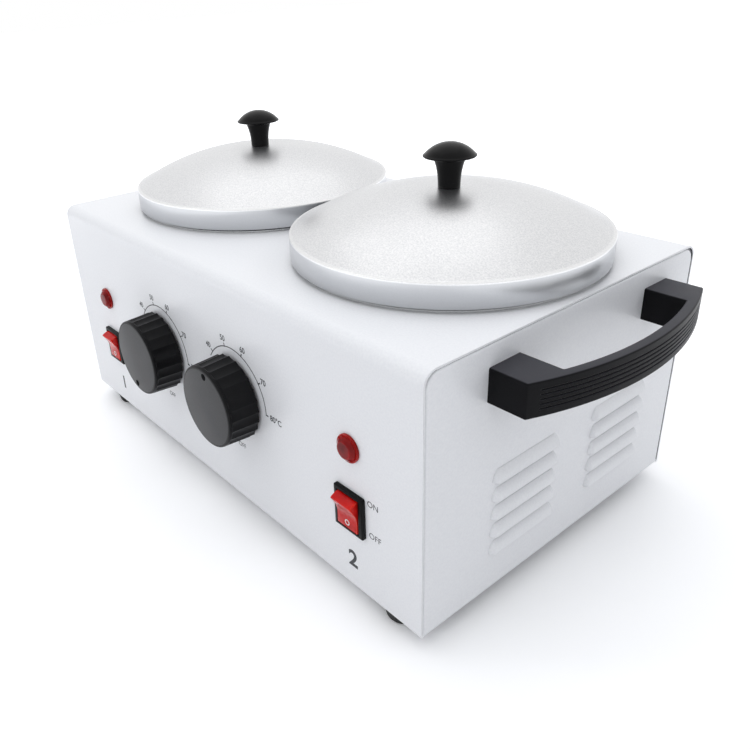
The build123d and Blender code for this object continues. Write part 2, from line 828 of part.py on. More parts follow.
# Rocker switch housing: bezel, body behind the panel and the well that the rocker swings in
pivot_out = bezel_thickness - rocker_pivot_sink
swing_depth = rocker_swing_radius * math.sin(
    math.asin(rocker_keel / rocker_swing_radius) + math.radians(rocker_throw / 2)
)
cavity_depth = rocker_pivot_sink + swing_depth + rocker_clearance
pivot_place = (switch_x, front_y - pivot_out, base_z + switch_z)

with BuildPart() as switch_housing:
    with BuildSketch(front_plane(switch_x, switch_z)):
        RectangleRounded(*bezel_size, bezel_corner)
    extrude(amount=bezel_thickness)
    fillet(switch_housing.faces().sort_by(Axis.Y)[0].edges(), bezel_edge_radius)
    with BuildSketch(front_plane(switch_x, switch_z)):
        Rectangle(switch_body_width, switch_body_height)
    extrude(amount=-switch_body_depth)
    with BuildSketch(front_plane(switch_x, switch_z, bezel_thickness)):
        opening_height = 2 * (rocker_swing_radius + rocker_clearance)
        Rectangle(rocker_width + 2 * rocker_clearance, opening_height)
    extrude(amount=-cavity_depth, mode=Mode.SUBTRACT)
    with Locations(pivot_place):
        socket_run = rocker_width + 2 * rocker_pin_length + 2 * rocker_clearance
        Cylinder(
            rocker_pin_radius + bore_slack,
            socket_run,
            rotation=(0, 90, 0),
            mode=Mode.SUBTRACT,
        )
write_pair(switch_housing, "switch_housing")

# Rocker: dished top, ends rounded about the pivot, stored with its lower half pressed
rocker_tilt = math.radians(rocker_throw / 2)
rocker_top = (0, -math.sin(rocker_tilt), math.cos(rocker_tilt))
rocker_plane = Plane(origin=pivot_place, x_dir=rocker_top, z_dir=(1, 0, 0))
end_up = rocker_end_rise + rocker_pivot_sink
end_out = math.sqrt(rocker_swing_radius**2 - end_up**2)
keel_out = math.sqrt(rocker_swing_radius**2 - rocker_keel**2)
dish_up = rocker_centre_rise + rocker_pivot_sink

with BuildPart() as rocker:
    with BuildSketch(rocker_plane) as rocker_outline:
        with BuildLine():
            FilletPolyline(
                (-end_out, end_up),
                (0, dish_up),
                (end_out, end_up),
                radius=rocker_dish_radius,
            )
            for s in (-1, 1):
                ThreePointArc(
                    (s * end_out, end_up),
                    (s * rocker_swing_radius, 0),
                    (s * keel_out, -rocker_keel),
                )
            Line((-keel_out, -rocker_keel), (keel_out, -rocker_keel))
        make_face()
        corners = [v for v in rocker_outline.vertices() if abs(v.X) > keel_out - rocker_edge_radius]
        fillet(corners, rocker_edge_radius)
    extrude(amount=rocker_width / 2, both=True)
    with Locations(pivot_place):
        Cylinder(rocker_pin_radius, rocker_width + 2 * rocker_pin_length, rotation=(0, 90, 0))
write_pair(rocker, "rocker")

# Switch blades behind each housing
with BuildPart() as switch_terminals:
    for s in (-1, 1):
        with Locations(front_plane(s * switch_x, switch_z, -switch_body_depth)):
            with GridLocations(0, blade_pitch, 1, blade_count):
                Box(*blade_size, align=DOWN)
write(switch_terminals, "switch_terminals")

# Pilot light: domed lens in front, body through the panel, spring nut behind
with BuildPart() as pilot_lens:
    with BuildSketch(front_plane(pilot_x, pilot_z)):
        Circle(lens_radius)
    extrude(amount=lens_height)
    fillet(pilot_lens.faces().sort_by(Axis.Y)[0].edges(), lens_edge_radius)
write_pair(pilot_lens, "pilot_lens")

with BuildPart() as pilot_body:
    with BuildSketch(front_plane(pilot_x, pilot_z)):
        Circle(pilot_body_radius)
    extrude(amount=-pilot_body_length)
write_pair(pilot_body, "pilot_body")

with BuildPart() as pilot_nuts:
    for s in (-1, 1):
        with BuildSketch(front_plane(s * pilot_x, pilot_z, -sheet)):
            Circle(spring_nut_radius)
            Circle(pilot_body_radius, mode=Mode.SUBTRACT)
    extrude(amount=-spring_nut_thickness)
write(pilot_nuts, "pilot_nuts")

# Cable gland in the back panel: body, clamping cap and lock nut
gland_out = Plane(origin=(0, back_y, base_z + gland_z), x_dir=(-1, 0, 0), z_dir=(0, 1, 0))

with BuildPart() as gland_body:
    with BuildSketch(gland_out):
        RegularPolygon(gland_hex_across / 2, 6, major_radius=False)
    extrude(amount=gland_hex_height)
    with BuildSketch(gland_out):
        Circle(gland_thread_radius)
    extrude(amount=-gland_thread_length)
    with Locations(gland_out.offset(gland_hex_height)):
        Hole(gland_bore_radius)
write(gland_body, "gland_body")

with BuildPart() as gland_cap:
    with BuildSketch(gland_out.offset(gland_hex_height)):
        Circle(gland_cap_radius)
    extrude(amount=gland_cap_height / 2)
    with BuildSketch(gland_out.offset(gland_hex_height + gland_cap_height / 2)):
        Circle(gland_cap_radius)
    with BuildSketch(gland_out.offset(gland_reach)):
        Circle(gland_mouth_radius)
    loft()
    with Locations(gland_out.offset(gland_reach)):
        Hole(gland_bore_radius)
write(gland_cap, "gland_cap")

with BuildPart() as gland_lock_nut:
    with BuildSketch(gland_out.offset(-sheet)):
        RegularPolygon(gland_hex_across / 2, 6, major_radius=False)
        Circle(gland_thread_radius, mode=Mode.SUBTRACT)
    extrude(amount=-lock_nut_height)
write(gland_lock_nut, "gland_lock_nut")

# Terminal block on the base plate, with its screws, and the earth nut
block_place = (0, back_y - block_back_gap - block_size[1], floor_z)
wire_low_z = floor_z + block_wire_height

with BuildPart() as terminal_block:
    with Locations(block_place):
        Box(*block_size, align=UP)
    fillet(terminal_block.faces().sort_by(Axis.Z)[-1].edges(), block_edge_radius)
    with Locations(ground_plane(block_place[0], block_place[1], floor_z + block_size[2])):
        with GridLocations(block_pitch, block_size[1] / 2, block_ways, 2):
            Hole(block_screw_radius, block_screw_depth)
    wire_mouth = (block_place[0], block_place[1] + block_size[1] / 2, wire_low_z)
    with Locations(Plane(origin=wire_mouth, x_dir=(-1, 0, 0), z_dir=(0, 1, 0))):
        with GridLocations(block_pitch, 0, block_ways, 1):
            Hole(block_wire_radius)
write(terminal_block, "terminal_block")

with BuildPart() as terminal_screws:
    with Locations(ground_plane(block_place[0], block_place[1], floor_z + block_size[2] - block_screw_depth)):
        with GridLocations(block_pitch, block_size[1] / 2, block_ways, 2):
            Cylinder(block_screw_radius - bore_slack, block_screw_depth / 2, align=UP)
write(terminal_screws, "terminal_screws")

with BuildPart() as earth_nut:
    with BuildSketch(ground_plane(*earth_place)):
        RegularPolygon(earth_nut_across / 2, 6, major_radius=False)
        Circle(earth_radius, mode=Mode.SUBTRACT)
    extrude(amount=earth_nut_height)
write(earth_nut, "earth_nut")

# Wires on each side: terminal block to switch, switch to thermostat, thermostat to heater
leg_turn = math.radians(heater_gap_angle / 2)
leg_x = well_x - heater_ring_radius * math.sin(leg_turn) + heater_elbow_radius * math.cos(leg_turn)
leg_y = well_y - heater_ring_radius * math.cos(leg_turn) - heater_elbow_radius * math.sin(leg_turn)
leg_end_z = ring_z - heater_elbow_radius - heater_leg_length
block_front_y = block_place[1] - block_size[1] / 2
lane_y = block_front_y - wire_lane_gap
switch_blade_y = front_y + switch_body_depth + blade_size[2]
stat_blade_y = front_y + 2 * sheet + thermostat_depth + blade_size[2]
turn_y = switch_blade_y + wire_turn_gap
switch_blade_z = base_z + switch_z
stat_blade_z = base_z + dial_z
heater_lane_z = leg_end_z - wire_drop

wire_routes = []
for side, s in (("left", -1), ("right", 1)):
    far_x = dial_x[side] - s * blade_pitch
    near_x = dial_x[side] + s * blade_pitch
    supply = [
        (s * block_pitch, block_front_y + wire_insertion, wire_low_z),
        (s * block_pitch, lane_y, wire_low_z),
        (s * switch_x, lane_y, wire_low_z),
        (s * switch_x, turn_y, wire_low_z),
        (s * switch_x, turn_y, switch_blade_z - blade_pitch),
        (s * switch_x, switch_blade_y, switch_blade_z - blade_pitch),
    ]
    switched = [
        (s * switch_x, switch_blade_y, switch_blade_z),
        (s * switch_x, turn_y, switch_blade_z),
        (near_x, turn_y, switch_blade_z),
        (near_x, turn_y, stat_blade_z),
        (near_x, stat_blade_y, stat_blade_z),
    ]
    heating = [
        (far_x, stat_blade_y, stat_blade_z),
        (far_x, turn_y, stat_blade_z),
        (far_x, turn_y, heater_lane_z),
        (far_x, leg_y, heater_lane_z),
        (s * leg_x, leg_y, heater_lane_z),
        (s * leg_x, leg_y, leg_end_z),
    ]
    wire_routes += [supply, switched, heating]

with BuildPart() as wiring:
    for route in wire_routes:
        with BuildLine():
            FilletPolyline(*route, radius=wire_bend)
        with BuildSketch(Plane(origin=route[0], x_dir=(1, 0, 0), z_dir=(0, -1, 0))):
            Circle(wire_radius)
        sweep()
write(wiring, "wiring")
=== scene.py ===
import json
import math

import bmesh
import bpy
from mathutils import Matrix, Vector


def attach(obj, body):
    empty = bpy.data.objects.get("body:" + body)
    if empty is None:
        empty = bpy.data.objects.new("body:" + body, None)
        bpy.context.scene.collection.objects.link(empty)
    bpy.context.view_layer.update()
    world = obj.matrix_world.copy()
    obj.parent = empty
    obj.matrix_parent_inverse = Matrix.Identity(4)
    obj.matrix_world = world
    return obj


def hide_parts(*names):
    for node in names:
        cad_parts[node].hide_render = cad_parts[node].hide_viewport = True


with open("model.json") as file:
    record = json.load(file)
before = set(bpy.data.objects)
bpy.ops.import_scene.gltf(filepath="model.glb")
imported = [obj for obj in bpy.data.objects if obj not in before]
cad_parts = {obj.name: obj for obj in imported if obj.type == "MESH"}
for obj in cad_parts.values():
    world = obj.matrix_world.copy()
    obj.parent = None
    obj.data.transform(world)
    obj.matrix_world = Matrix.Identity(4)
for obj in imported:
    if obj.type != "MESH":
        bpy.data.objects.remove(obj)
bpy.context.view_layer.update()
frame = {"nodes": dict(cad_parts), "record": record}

MM = 0.001
SIDES = (("left", -1), ("right", 1))

# Places shared with the CAD part, in millimetres
END_X, FRONT_Y, BACK_Y = 177.5, -105.5, 105.5
BASE_Z, TOP_Z = 10.0, 153.0
WELL_X, WELL_Y = 87.6, 6.4
DIAL_X = {"left": -49.9, "right": 32.8}
DIAL_Z = 84.2
POINTER = {"left": -166.0, "right": 7.0}
SWITCH_X, SWITCH_Z = 129.6, 59.0
PILOT_X, PILOT_Z = 129.9, 95.5
LID_R, LID_FOOT, LID_SHOULDER, LID_APEX = 87.0, 155.2, 168.4, 189.0


def linear(hex_colour):
    """sRGB hex to the linear values that shaders take."""
    out = []
    for i in (0, 2, 4):
        c = int(hex_colour[i:i + 2], 16) / 255
        out.append(c / 12.92 if c <= 0.04045 else ((c + 0.055) / 1.055) ** 2.4)
    return (*out, 1.0)


# A colour mix node's own sockets, which share their names with its number sockets
MIX_A, MIX_B, MIX_OUT = 6, 7, 2
# Nearly all of a noise's values lie in this span
NOISE_SPAN = {"From Min": 0.3, "From Max": 0.7}
# Roughness drifts over patches of about this size, in millimetres
DRIFT_MM = 45
BEVEL_RAYS = 4


def node(tree, kind, links=None, values=None, **settings):
    """Adds one shader node with its settings, plain values and incoming links."""
    made = tree.nodes.new(kind)
    for key, value in settings.items():
        setattr(made, key, value)
    for key, value in (values or {}).items():
        made.inputs[key].default_value = value
    for key, source in (links or {}).items():
        tree.links.new(source, made.inputs[key])
    return made


def begin_material(name, shader_values):
    """A new material with one Principled shader: returns it, its tree, the shader and object coordinates."""
    mat = bpy.data.materials.new(name)
    mat.use_nodes = True
    tree = mat.node_tree
    tree.nodes.clear()
    out = node(tree, "ShaderNodeOutputMaterial")
    shader = node(tree, "ShaderNodeBsdfPrincipled", values=shader_values)
    tree.links.new(shader.outputs[0], out.inputs["Surface"])
    place = node(tree, "ShaderNodeTexCoord").outputs["Object"]
    return mat, tree, shader, place


def grained(name, dark, light, grain_mm, depth_mm, rough, spread, edge_mm=0.4, values=None, painted_top_sheen=None):
    """A grained surface: two near colours, a fine relief over softened edges, a drifting roughness.

    Where a painted top sheen colour is given, the faces that look up take it as a painted sheen.
    """
    mat, tree, shader, place = begin_material(name, values or {})
    grain = node(tree, "ShaderNodeTexNoise", {"Vector": place},
                 {"Scale": 1 / (grain_mm * MM), "Detail": 2.0, "Roughness": 0.55})
    drift = node(tree, "ShaderNodeTexNoise", {"Vector": place}, {"Scale": 1 / (DRIFT_MM * MM), "Detail": 2.0})
    share = node(tree, "ShaderNodeMapRange", {"Value": grain.outputs["Fac"]}, NOISE_SPAN)
    colour = node(tree, "ShaderNodeMix", {"Factor": share.outputs[0]},
                  {MIX_A: linear(dark), MIX_B: linear(light)}, data_type="RGBA")
    # Painted sheen: the faces that look up take a lighter colour
    if painted_top_sheen:
        normal = node(tree, "ShaderNodeNewGeometry").outputs["Normal"]
        facing = node(tree, "ShaderNodeSeparateXYZ", {0: normal})
        sheen_mask = node(tree, "ShaderNodeMapRange", {"Value": facing.outputs["Z"]},
                      {"From Min": 0.7, "From Max": 1.0})
        colour = node(tree, "ShaderNodeMix", {"Factor": sheen_mask.outputs[0], MIX_A: colour.outputs[MIX_OUT]},
                      {MIX_B: linear(painted_top_sheen)}, data_type="RGBA")
    gloss = node(tree, "ShaderNodeMapRange", {"Value": drift.outputs["Fac"]},
                 {**NOISE_SPAN, "To Min": rough - spread, "To Max": rough + spread})
    relief = node(tree, "ShaderNodeBump", {"Height": grain.outputs["Fac"]},
                  {"Strength": 1.0, "Distance": depth_mm * MM})
    if edge_mm:
        edge = node(tree, "ShaderNodeBevel", values={"Radius": edge_mm * MM}, samples=BEVEL_RAYS)
        tree.links.new(edge.outputs["Normal"], relief.inputs["Normal"])
    tree.links.new(colour.outputs[MIX_OUT], shader.inputs["Base Color"])
    tree.links.new(gloss.outputs[0], shader.inputs["Roughness"])
    tree.links.new(relief.outputs[0], shader.inputs["Normal"])
    return mat


# On the lid the painted rim highlight starts above the shoulder, is full under it, and ends where the skirt's
# painted shade fades in
RIM_START, RIM_FULL, RIM_DEPTH, SKIRT_FADE = 0.3, 0.1, 0.9, 0.6
# How far the painted rim highlight and the painted skirt shade cover the metal's own colour
RIM_HIGHLIGHT_SHARE, SKIRT_SHADE_SHARE = 0.55, 0.75


def paint_lid_edge_light(mat):
    """Paints the skirt greyer than the dome as painted shade, and the rim between them bright as a painted
    highlight.
    """
    tree = mat.node_tree
    shader = next(n for n in tree.nodes if n.type == "BSDF_PRINCIPLED")
    colour = shader.inputs["Base Color"].links[0].from_socket
    place = node(tree, "ShaderNodeTexCoord").outputs["Object"]
    height = node(tree, "ShaderNodeSeparateXYZ", {0: place}).outputs["Z"]
    rim_foot = LID_SHOULDER - RIM_DEPTH
    rim_highlight_mask = node(tree, "ShaderNodeMapRange", {"Value": height},
                  {"From Min": (LID_SHOULDER + RIM_START) * MM, "From Max": (LID_SHOULDER - RIM_FULL) * MM,
                   "To Min": 0.0, "To Max": RIM_HIGHLIGHT_SHARE})
    skirt_shade_mask = node(tree, "ShaderNodeMapRange", {"Value": height},
                    {"From Min": rim_foot * MM, "From Max": (rim_foot - SKIRT_FADE) * MM,
                     "To Min": 0.0, "To Max": SKIRT_SHADE_SHARE})
    rim_highlighted = node(tree, "ShaderNodeMix", {"Factor": rim_highlight_mask.outputs[0], MIX_A: colour},
                  {MIX_B: linear("F6F6F6")}, data_type="RGBA")
    skirt_shaded = node(tree, "ShaderNodeMix", {"Factor": skirt_shade_mask.outputs[0], MIX_A: rim_highlighted.outputs[MIX_OUT]},
                   {MIX_B: linear("C2C4C7")}, data_type="RGBA")
    tree.links.new(skirt_shaded.outputs[MIX_OUT], shader.inputs["Base Color"])


# White powder coat, sprayed and baked: soft orange peel, and a semi-gloss that gives broad pale reflections
POWDER = grained("white_powder_coat", "EDEEF1", "F3F4F6", 1.1, 0.012, 0.36, 0.03, 0.5,
                 {"Coat Weight": 0.25, "Coat Roughness": 0.22})
# Bead-blasted aluminium: a fine bright grain that spreads reflections wide, drawn coarser than real
ALUMINIUM = grained("satin_aluminium", "D3D4D6", "EAEAEB", 0.8, 0.035, 0.34, 0.05, 0.25, {"Metallic": 1.0})
# The lid metal takes a painted highlight on its rim and painted shade on its skirt
paint_lid_edge_light(ALUMINIUM)
# Spun aluminium of the pots and wells: the same metal with a softer, brighter sheen
SPUN = grained("spun_aluminium", "CFD0D1", "DCDDDE", 0.6, 0.006, 0.27, 0.04, 0.25, {"Metallic": 1.0})
# Phenolic of the handles, from a spark-eroded mould: matt grain, with a painted sheen that greys the faces
# looking up
HANDLE_BLACK = grained("textured_black_phenolic", "09090B", "111114", 0.45, 0.03, 0.4, 0.04, 0.35,
                       {"Specular IOR Level": 0.08, "Sheen Weight": 0.15, "Sheen Roughness": 0.3}, "404045")
# The temperature knobs' ABS: the same look, a little smoother
DIAL_BLACK = grained("moulded_black_abs", "08080A", "101012", 0.4, 0.018, 0.36, 0.04, 0.3,
                     {"Specular IOR Level": 0.14})
# The knobs' pressed-in end caps, satin: their dark grey beside the black wall is a painted sheen on the same
# black plastic
DIAL_CAP = grained("satin_end_cap_painted_sheen", "1F1F22", "29292C", 0.8, 0.012, 0.42, 0.05, 0.3,
                   {"Specular IOR Level": 0.4})
# Polished phenolic of the lid knobs: mirror-like with a faint waviness
GLOSS_BLACK = grained("polished_black_phenolic", "020203", "050506", 1.6, 0.004, 0.22, 0.03, 0.3,
                      {"Specular IOR Level": 0.14})
# Moulded nylon of the switch bezels and the gland: low sheen
BEZEL_BLACK = grained("moulded_black_nylon", "060607", "0C0C0D", 0.7, 0.01, 0.33, 0.03, 0.3,
                      {"Specular IOR Level": 0.12})
# Moulded rubber feet: dull, slightly dusty
RUBBER = grained("moulded_rubber", "131313", "222222", 0.8, 0.03, 0.72, 0.05, 0.4)
# Zinc-plated sheet and screws: grey metal with a cloudy sheen
STEEL = grained("zinc_plated_steel", "9C9EA0", "B9BBBD", 2.2, 0.01, 0.34, 0.06, 0.3, {"Metallic": 1.0})
# Steel heater tube, tinted brown-grey by its own heat
DARK_STEEL = grained("heat_tinted_steel", "4A4540", "6A625A", 3.0, 0.01, 0.42, 0.06, 0.3, {"Metallic": 1.0})
# Compression-moulded phenolic of the controls inside
BAKELITE = grained("moulded_brown_phenolic", "2A1E18", "382820", 1.2, 0.01, 0.35, 0.04, 0.3)
# Drawn copper of bulbs and capillaries: warm, slightly dulled
COPPER = grained("drawn_copper", "A5694A", "C08060", 1.5, 0.008, 0.33, 0.05, 0.2, {"Metallic": 1.0})
# Stamped brass of terminals
BRASS = grained("stamped_brass", "B59A58", "CDB474", 1.5, 0.008, 0.3, 0.05, 0.2, {"Metallic": 1.0})
# Natural nylon of the terminal block: milky
NYLON = grained("natural_nylon", "D6D5CE", "E2E1DA", 1.4, 0.01, 0.45, 0.04, 0.3)
# Woven, silicone-filled sleeving of the wires
SLEEVING = grained("silicone_sleeving", "B9B6AC", "CFCCC2", 0.9, 0.02, 0.6, 0.05, 0.2)
# The knobs' pointer dots: dead matt black, the darkest spot on the grey cap
DOT_BLACK = grained("matt_black_pointer_dot", "020203", "050506", 0.5, 0.002, 0.7, 0.03, 0.0,
                    {"Specular IOR Level": 0.04})
# Painted shadow in the gap between two sheets: a dull grey line
GAP_SHADE = grained("painted_gap_shadow", "33353A", "3E4045", 0.6, 0.004, 0.8, 0.03, 0.0)
# Pad-printed ink: flat dark grey
INK = grained("printed_grey_ink", "25272B", "303237", 0.5, 0.002, 0.5, 0.03, 0.0)
# The rocker's moulded-in white marks
WHITE_INK = grained("printed_white_ink", "E4DEDC", "F0EAE8", 0.5, 0.002, 0.5, 0.03, 0.0)


def sees_background(tree):
    """One for rays from the camera, from reflections and through clear parts, else nothing."""
    path = node(tree, "ShaderNodeLightPath")
    seen = path.outputs["Is Camera Ray"]
    for ray in ("Is Glossy Ray", "Is Transmission Ray"):
        seen = node(tree, "ShaderNodeMath", {0: seen, 1: path.outputs[ray]}, operation="MAXIMUM").outputs[0]
    return seen


# Red plastics: size of the clouds, width of the painted edge glow, roundness of the edges and depth of the
# waves
CLOUD_MM, GLOW_MM, RED_EDGE_MM, RED_RELIEF_MM = 6, 1.0, 0.25, 0.004


def red_plastic(name, deep, bright, glow, rough, see_through):
    """Translucent red polycarbonate: light enters, scatters and comes back red; its orange edges are a
    painted glow.
    """
    mat, tree, shader, place = begin_material(
        name, {"Roughness": rough, "IOR": 1.49, "Transmission Weight": see_through,
               "Subsurface Weight": 0.35, "Subsurface Scale": 0.004, "Subsurface Radius": (1.0, 0.12, 0.08),
               "Specular IOR Level": 0.14})
    cloud = node(tree, "ShaderNodeTexNoise", {"Vector": place}, {"Scale": 1 / (CLOUD_MM * MM), "Detail": 2.0})
    share = node(tree, "ShaderNodeMapRange", {"Value": cloud.outputs["Fac"]}, NOISE_SPAN)
    colour = node(tree, "ShaderNodeMix", {"Factor": share.outputs[0]},
                  {MIX_A: linear(deep), MIX_B: linear(bright)}, data_type="RGBA")
    wide = node(tree, "ShaderNodeBevel", values={"Radius": GLOW_MM * MM}, samples=BEVEL_RAYS)
    flat = node(tree, "ShaderNodeVectorMath",
                {0: wide.outputs["Normal"], 1: node(tree, "ShaderNodeNewGeometry").outputs["True Normal"]},
                operation="DOT_PRODUCT")
    glow_mask = node(tree, "ShaderNodeMapRange", {"Value": flat.outputs["Value"]},
                     {"From Min": 1.0, "From Max": 0.8, "To Min": 0.0, "To Max": 1.0})
    painted_edge_glow = node(tree, "ShaderNodeMix", {"Factor": glow_mask.outputs[0], MIX_A: colour.outputs[MIX_OUT]},
               {MIX_B: linear(glow)}, data_type="RGBA")
    tree.links.new(painted_edge_glow.outputs[MIX_OUT], shader.inputs["Base Color"])
    edge = node(tree, "ShaderNodeBevel", values={"Radius": RED_EDGE_MM * MM}, samples=BEVEL_RAYS)
    relief = node(tree, "ShaderNodeBump", {"Height": cloud.outputs["Fac"], "Normal": edge.outputs["Normal"]},
                  {"Strength": 1.0, "Distance": RED_RELIEF_MM * MM})
    tree.links.new(relief.outputs[0], shader.inputs["Normal"])
    return mat


# Rocker and lamp lens: both carry a painted glow at their edges, and the lens is the deeper red
ROCKER_RED = red_plastic("translucent_red_rocker", "C40C0E", "E4201C", "FF4024", 0.16, 0.15)
LENS_RED = red_plastic("red_lamp_lens", "6A0206", "960508", "EA2016", 0.12, 0.1)


def add_object(name, data):
    """Puts a mesh, curve, camera or lamp into the scene."""
    made = bpy.data.objects.new(name, data)
    bpy.context.scene.collection.objects.link(made)
    return made


def face_outward(mesh, weld=False):
    """Turns a closed mesh's faces outward, after welding its corners where they are loose."""
    bm = bmesh.new()
    bm.from_mesh(mesh)
    if weld:
        bmesh.ops.remove_doubles(bm, verts=bm.verts, dist=1e-6)
    bmesh.ops.recalc_face_normals(bm, faces=bm.faces)
    bm.to_mesh(mesh)
    bm.free()


def soften(mesh, angle):
    """Smooth shading, kept crisp at edges sharper than the angle."""
    mesh.shade_smooth()
    bm = bmesh.new()
    bm.from_mesh(mesh)
    limit = math.radians(angle)
    for edge in bm.edges:
        edge.smooth = len(edge.link_faces) == 2 and edge.calc_face_angle(0.0) < limit
    bm.to_mesh(mesh)
    bm.free()


def mesh_object(name, verts, faces, mat, smooth_angle=40.0):
    """A closed mesh in the shared frame, from millimetres, its faces turned outward."""
    mesh = bpy.data.meshes.new(name)
    mesh.from_pydata([Vector(v) * MM for v in verts], [], faces)
    face_outward(mesh)
    mesh.materials.append(mat)
    made = add_object(name, mesh)
    soften(mesh, smooth_angle)
    return made


def loft(rings, joined=False):
    """Vertices and faces through equal rings: capped at both ends, or joined from last ring to first."""
    n = len(rings[0])
    verts = [p for ring in rings for p in ring]
    faces = []
    bands = len(rings) if joined else len(rings) - 1
    for i in range(bands):
        a, b = i * n, ((i + 1) % len(rings)) * n
        for j in range(n):
            k = (j + 1) % n
            faces.append((a + j, a + k, b + k, b + j))
    if not joined:
        faces.append(tuple(range(n))[::-1])
        faces.append(tuple(range((len(rings) - 1) * n, len(rings) * n)))
    return verts, faces


def rounded(points, radii, steps=6):
    """A polyline whose inner corners are rounded with the given radii."""
    out = []
    for i, p in enumerate(points):
        r = radii[i]
        if not r or i in (0, len(points) - 1):
            out.append(tuple(p))
            continue
        p0, p1, p2 = (Vector(points[i + d]) for d in (-1, 0, 1))
        a, b = (p0 - p1).normalized(), (p2 - p1).normalized()
        half = a.angle(b) / 2
        cut = min(r / math.tan(half), (p0 - p1).length * 0.49, (p2 - p1).length * 0.49)
        r = cut * math.tan(half)
        centre = p1 + (a + b).normalized() * (r / math.sin(half))
        s, e = p1 + a * cut - centre, p1 + b * cut - centre
        sweep = s.angle(e)
        turn = 1 if s.x * e.y - s.y * e.x > 0 else -1
        for k in range(steps + 1):
            t = turn * sweep * k / steps
            out.append((centre.x + s.x * math.cos(t) - s.y * math.sin(t),
                        centre.y + s.x * math.sin(t) + s.y * math.cos(t)))
    return out


def spun_rings(profile, centre, count, axis="z"):
    """Rings about a vertical axis, or about an axis along -Y, from (radius, height) pairs."""
    rings = []
    for r, h in profile:
        ring = []
        for k in range(count):
            t = 2 * math.pi * k / count
            x, y = r * math.cos(t), r * math.sin(t)
            ring.append((centre[0] + x, centre[1] + y, centre[2] + h) if axis == "z"
                        else (centre[0] + x, centre[1] - h, centre[2] + y))
        rings.append(ring)
    return rings


def place_piece(made, body, replaced=()):
    """Attaches a piece to the body it moves with, and hides the CAD nodes it stands for."""
    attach(made, body)
    if replaced:
        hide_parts(*replaced)
    return made


# Points round each kind of spun piece
LID_TURNS, KNOB_TURNS, END_CAP_TURNS, DOT_TURNS, LENS_TURNS = 192, 96, 96, 32, 72
# Closed ends of spun pieces stop this far from their axis
AXIS_R = 0.05

# Lids: where the ledge ends and the flat middle starts, and the radii that the dome is drawn through
LEDGE_R, FLAT_R = 85.3, 8.0
DOME_RADII = range(83, 3, -2)
# Their sheet, the rounded edge of the skirt, the hole in the middle and the slope at the skirt's foot
LID_SHEET, LID_EDGE_R, LID_HOLE_R, LID_HEM = 1.0, 1.6, 0.6, 0.3
DOME_RUN, DOME_RISE = LEDGE_R - FLAT_R, LID_APEX - LID_SHOULDER
DOME_BOW = (DOME_RUN ** 2 + DOME_RISE ** 2) / (2 * DOME_RISE)


def dome_point(r):
    """Height of the lid's dome at a radius."""
    return LID_APEX - DOME_BOW + math.sqrt(DOME_BOW ** 2 - max(0.0, r - FLAT_R) ** 2)


def lid_line(inset):
    """The lid's section from foot to axis: straight skirt, rounded edge, narrow ledge, shallow dome."""
    skirt = [(LID_R - inset, LID_FOOT + LID_HEM), (LID_R - inset, LID_SHOULDER - inset)]
    ledge = [(LEDGE_R, LID_SHOULDER - inset)]
    dome = [(r, dome_point(r) - inset) for r in DOME_RADII]
    return rounded(skirt + ledge + dome, [0, LID_EDGE_R - inset, LID_EDGE_R] + [0] * len(dome), steps=8)


LID_PROFILE = [
    (LID_R - LID_HEM, LID_FOOT), *lid_line(0.0),
    (LID_HOLE_R, LID_APEX), (LID_HOLE_R, LID_APEX - LID_SHEET),
    *lid_line(LID_SHEET)[::-1], (LID_R - LID_SHEET + LID_HEM, LID_FOOT)]
for side, s in SIDES:
    rings = spun_rings(LID_PROFILE, (s * WELL_X, WELL_Y, 0), LID_TURNS)
    lid = mesh_object(f"{side}_lid_skin", *loft(rings, joined=True), ALUMINIUM, smooth_angle=50)
    place_piece(lid, f"{side}_lid", [f"{side}_lid"])

# Lid knobs: a waisted stem that flares into a shallow cap with a thin rounded lip
STEM_FOOT, STEM_WAIST, STEM_TOP = (6.0, 0.3), (6.0, 9.0), (8.5, 15.0)
STEM_FOOT_R, STEM_TOP_BEND, STEM_STEPS = 5.7, 1.2, 12
CAP_UNDER, CAP_R, CAP_RISE, KNOB_TOP, CAP_STEPS = (13.5, 16.15), 13.7, 6.4, 23.6, 24
CAP_LIP_Z, CAP_LIP_R = 16.7, 0.5
CAP_BOW = (CAP_R ** 2 + CAP_RISE ** 2) / (2 * CAP_RISE)
KNOB_PROFILE = [(AXIS_R, 0.0), (STEM_FOOT_R, 0.0)]
for k in range(STEM_STEPS + 1):
    t = k / STEM_STEPS
    KNOB_PROFILE.append(tuple(a * (1 - t) ** 2 + 2 * b * t * (1 - t) + c * t * t
                              for a, b, c in zip(STEM_FOOT, STEM_WAIST, STEM_TOP)))
KNOB_PROFILE += rounded([KNOB_PROFILE[-2], STEM_TOP, CAP_UNDER], [0, STEM_TOP_BEND, 0])[1:]
for degrees in range(-75, 76, 15):
    a = math.radians(degrees)
    KNOB_PROFILE.append((CAP_R + CAP_LIP_R * math.cos(a), CAP_LIP_Z + CAP_LIP_R * math.sin(a)))
for k in range(1, CAP_STEPS + 1):
    r = CAP_R * (1 - k / CAP_STEPS) + AXIS_R
    KNOB_PROFILE.append((r, KNOB_TOP - CAP_BOW + math.sqrt(CAP_BOW ** 2 - r * r)))
for side, s in SIDES:
    rings = spun_rings(KNOB_PROFILE, (s * WELL_X, WELL_Y, LID_APEX), KNOB_TURNS)
    knob = mesh_object(f"{side}_lid_knob_skin", *loft(rings), GLOSS_BLACK, smooth_angle=60)
    place_piece(knob, f"{side}_lid", [f"{side}_lid_knob"])


# Temperature knobs: flutes that run out just under a plain collar, a pressed-in end cap and a pointer dot
FLUTES, FLUTE_STEPS, FLUTE_DEPTH, FLUTE_FORM = 24, 10, 0.75, 0.8
COLLAR_FROM, COLLAR_RUN = 18.7, 0.6
# Only what lies past this radius is fluted
GROOVED_FROM = 22.0
